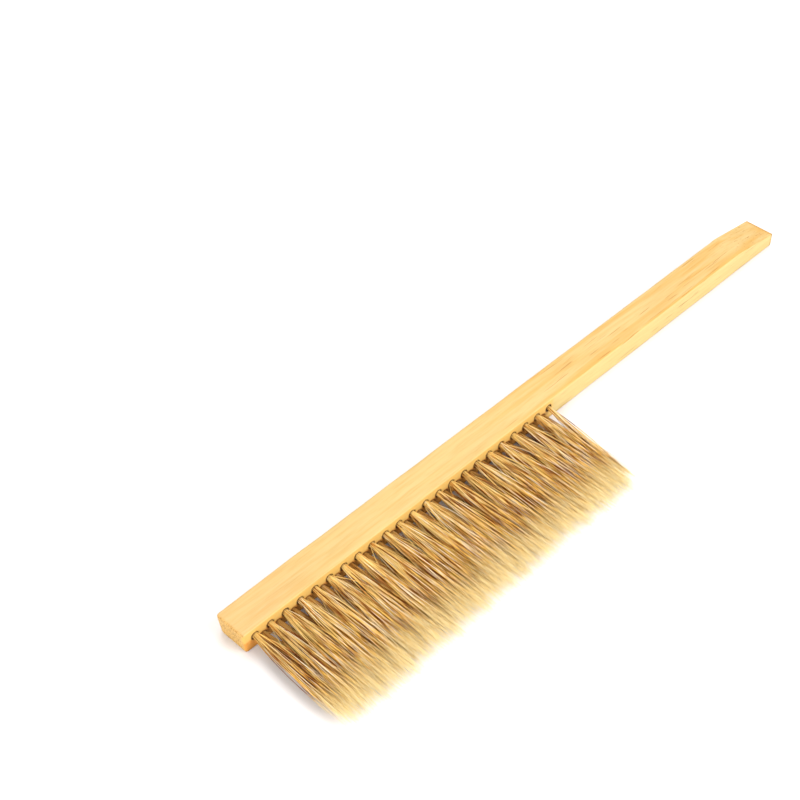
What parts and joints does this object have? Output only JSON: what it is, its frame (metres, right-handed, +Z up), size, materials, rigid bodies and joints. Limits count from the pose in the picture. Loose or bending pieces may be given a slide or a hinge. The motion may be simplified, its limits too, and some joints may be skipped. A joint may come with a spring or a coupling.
{
  "type": "bee brush",
  "caption": "Long flat wooden stick, head and handle in one, with soft light-brown bristle tufts in staggered rows along one narrow edge, for brushing bees off comb.",
  "frame": {"origin": "middle of the footprint of stick and bristles together, on the surface the brush lies on", "axes": "+X along the stick from the head end to the handle end; +Z up out of the broad face it lies on; the bristles point towards -Y"},
  "size_m": [0.4025, 0.078, 0.0132],
  "materials": {
    "wood": "smooth planed softwood, sawn ends",
    "bristle": "soft natural hair, straw to brown",
    "anchor_wire": "plain drawn flat wire"
  },
  "bodies": {
    "root": {"wooden_stick": "wood", "upper_tuft_01": "bristle", "upper_tuft_02": "bristle", "upper_tuft_03": "bristle", "upper_tuft_04": "bristle", "upper_tuft_05": "bristle", "upper_tuft_06": "bristle", "upper_tuft_07": "bristle", "upper_tuft_08": "bristle", "upper_tuft_09": "bristle", "upper_tuft_10": "bristle", "upper_tuft_11": "bristle", "upper_tuft_12": "bristle", "upper_tuft_13": "bristle", "upper_tuft_14": "bristle", "upper_tuft_15": "bristle", "upper_tuft_16": "bristle", "upper_tuft_17": "bristle", "upper_tuft_18": "bristle", "upper_tuft_19": "bristle", "upper_tuft_20": "bristle", "upper_tuft_21": "bristle", "upper_tuft_22": "bristle", "upper_tuft_23": "bristle", "lower_tuft_01": "bristle", "lower_tuft_02": "bristle", "lower_tuft_03": "bristle", "lower_tuft_04": "bristle", "lower_tuft_05": "bristle", "lower_tuft_06": "bristle", "lower_tuft_07": "bristle", "lower_tuft_08": "bristle", "lower_tuft_09": "bristle", "lower_tuft_10": "bristle", "lower_tuft_11": "bristle", "lower_tuft_12": "bristle", "lower_tuft_13": "bristle", "lower_tuft_14": "bristle", "lower_tuft_15": "bristle", "lower_tuft_16": "bristle", "lower_tuft_17": "bristle", "lower_tuft_18": "bristle", "lower_tuft_19": "bristle", "lower_tuft_20": "bristle", "lower_tuft_21": "bristle", "lower_tuft_22": "bristle", "upper_row_anchors": "anchor_wire", "lower_row_anchors": "anchor_wire"}
  },
  "joints": []
}
